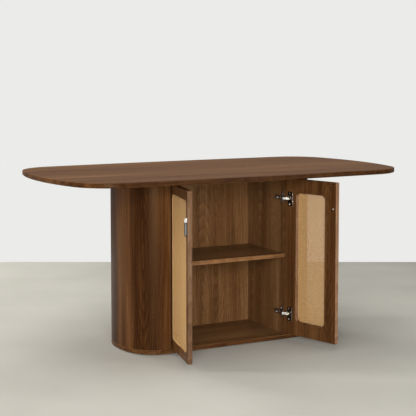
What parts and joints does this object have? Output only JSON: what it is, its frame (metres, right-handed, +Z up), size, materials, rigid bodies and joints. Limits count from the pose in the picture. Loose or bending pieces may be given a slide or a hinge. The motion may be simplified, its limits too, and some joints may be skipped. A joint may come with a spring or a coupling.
{
  "type": "kitchen table with storage cabinet",
  "caption": "Rectangular dining table with bowed edges and round corners on a drum-shaped walnut storage cabinet with cane doors and an inner shelf.",
  "frame": {"origin": "on the floor under the middle of the cabinet base, at the foot of the middle glide", "axes": "+Z up; +X along the table's length; -Y towards the side with the doors"},
  "size_m": [1.6196, 0.9181, 0.762],
  "materials": {
    "walnut_top": "walnut veneer, satin lacquer, grain along the table",
    "walnut_drum": "walnut veneer, satin lacquer, upright grain",
    "walnut_door": "solid walnut, satin lacquer, upright grain",
    "walnut_carcass": "walnut veneer, satin lacquer",
    "cane": "woven rattan cane, natural",
    "reed": "rattan reed spline",
    "birch_frame": "raw plywood and lumber",
    "nickel_hinge": "nickel-plated pressed steel",
    "hinge_link_steel": "dark plated steel",
    "bright_nickel": "polished nickel",
    "gunmetal": "gunmetal, satin",
    "nickel_pin": "nickel-plated steel",
    "brass_insert": "turned brass",
    "zinc_steel": "zinc-plated steel",
    "black_glide": "moulded black plastic",
    "clear_bumper": "translucent soft bumper"
  },
  "bodies": {
    "cabinet": {"back_battens": "birch_frame", "base_bottom_plate": "walnut_drum", "base_top_plate": "walnut_drum", "door_stop_rail": "walnut_carcass", "floor_glides": "black_glide", "hinge_plate_screws": "zinc_steel", "inner_back_panel": "walnut_carcass", "left_door_jamb": "birch_frame", "left_end_formers": "birch_frame", "left_end_wall": "walnut_drum", "left_lower_hinge_arm": "nickel_hinge", "left_lower_hinge_plate": "nickel_hinge", "left_rear_post": "birch_frame", "left_side_panel": "walnut_carcass", "left_upper_hinge_arm": "nickel_hinge", "left_upper_hinge_plate": "nickel_hinge", "outer_back_wall": "walnut_drum", "panel_screws": "zinc_steel", "right_door_jamb": "birch_frame", "right_end_formers": "birch_frame", "right_end_wall": "walnut_drum", "right_lower_hinge_arm": "nickel_hinge", "right_lower_hinge_plate": "nickel_hinge", "right_rear_post": "birch_frame", "right_side_panel": "walnut_carcass", "right_upper_hinge_arm": "nickel_hinge", "right_upper_hinge_plate": "nickel_hinge", "shelf": "walnut_carcass", "shelf_pins": "nickel_pin", "table_top": "walnut_top", "top_bolts": "zinc_steel", "top_inserts": "brass_insert"},
    "left_hinge_links": {"left_lower_hinge_link": "hinge_link_steel", "left_upper_hinge_link": "hinge_link_steel"},
    "left_door": {"left_cane_panel": "cane", "left_cane_spline": "reed", "left_cup_screws": "zinc_steel", "left_door_bumper": "clear_bumper", "left_door_panel": "walnut_door", "left_lower_hinge_cup": "nickel_hinge", "left_pull_post": "bright_nickel", "left_pull_screw": "zinc_steel", "left_upper_hinge_cup": "nickel_hinge"},
    "left_pull_drop": {"left_pull_drop": "gunmetal"},
    "right_hinge_links": {"right_lower_hinge_link": "hinge_link_steel", "right_upper_hinge_link": "hinge_link_steel"},
    "right_door": {"right_cane_panel": "cane", "right_cane_spline": "reed", "right_cup_screws": "zinc_steel", "right_door_bumper": "clear_bumper", "right_door_panel": "walnut_door", "right_lower_hinge_cup": "nickel_hinge", "right_pull_post": "bright_nickel", "right_pull_screw": "zinc_steel", "right_upper_hinge_cup": "nickel_hinge"},
    "right_pull_drop": {"right_pull_drop": "gunmetal"}
  },
  "joints": [
    {"name": "left_door_hinge", "type": "hinge", "parent": "cabinet", "child": "left_door", "pos_m": [-0.2895, -0.194, 0.375], "axis": [0, 0, 1], "range_deg": [0, 104]},
    {"name": "left_hinge_link_turn", "type": "hinge", "parent": "cabinet", "child": "left_hinge_links", "pos_m": [-0.2611, -0.1855, 0.375], "axis": [0, 0, 1], "range_deg": [-73, 0]},
    {"name": "left_pull_swing", "type": "hinge", "parent": "left_door", "child": "left_pull_drop", "pos_m": [-0.36253, -0.45715, 0.601], "axis": [0.2419, 0.9703, 0], "range_deg": [0, 90]},
    {"name": "right_door_hinge", "type": "hinge", "parent": "cabinet", "child": "right_door", "pos_m": [0.2895, -0.194, 0.375], "axis": [0, 0, -1], "range_deg": [0, 104]},
    {"name": "right_hinge_link_turn", "type": "hinge", "parent": "cabinet", "child": "right_hinge_links", "pos_m": [0.2611, -0.1855, 0.375], "axis": [0, 0, -1], "range_deg": [-73, 0]},
    {"name": "right_pull_swing", "type": "hinge", "parent": "right_door", "child": "right_pull_drop", "pos_m": [0.36253, -0.45715, 0.601], "axis": [0.2419, -0.9703, 0], "range_deg": [0, 90]}
  ],
  "couplings": [
    {"joint": "left_hinge_link_turn", "follows": "left_door_hinge", "ratio": -0.7},
    {"joint": "right_hinge_link_turn", "follows": "right_door_hinge", "ratio": -0.7}
  ]
}
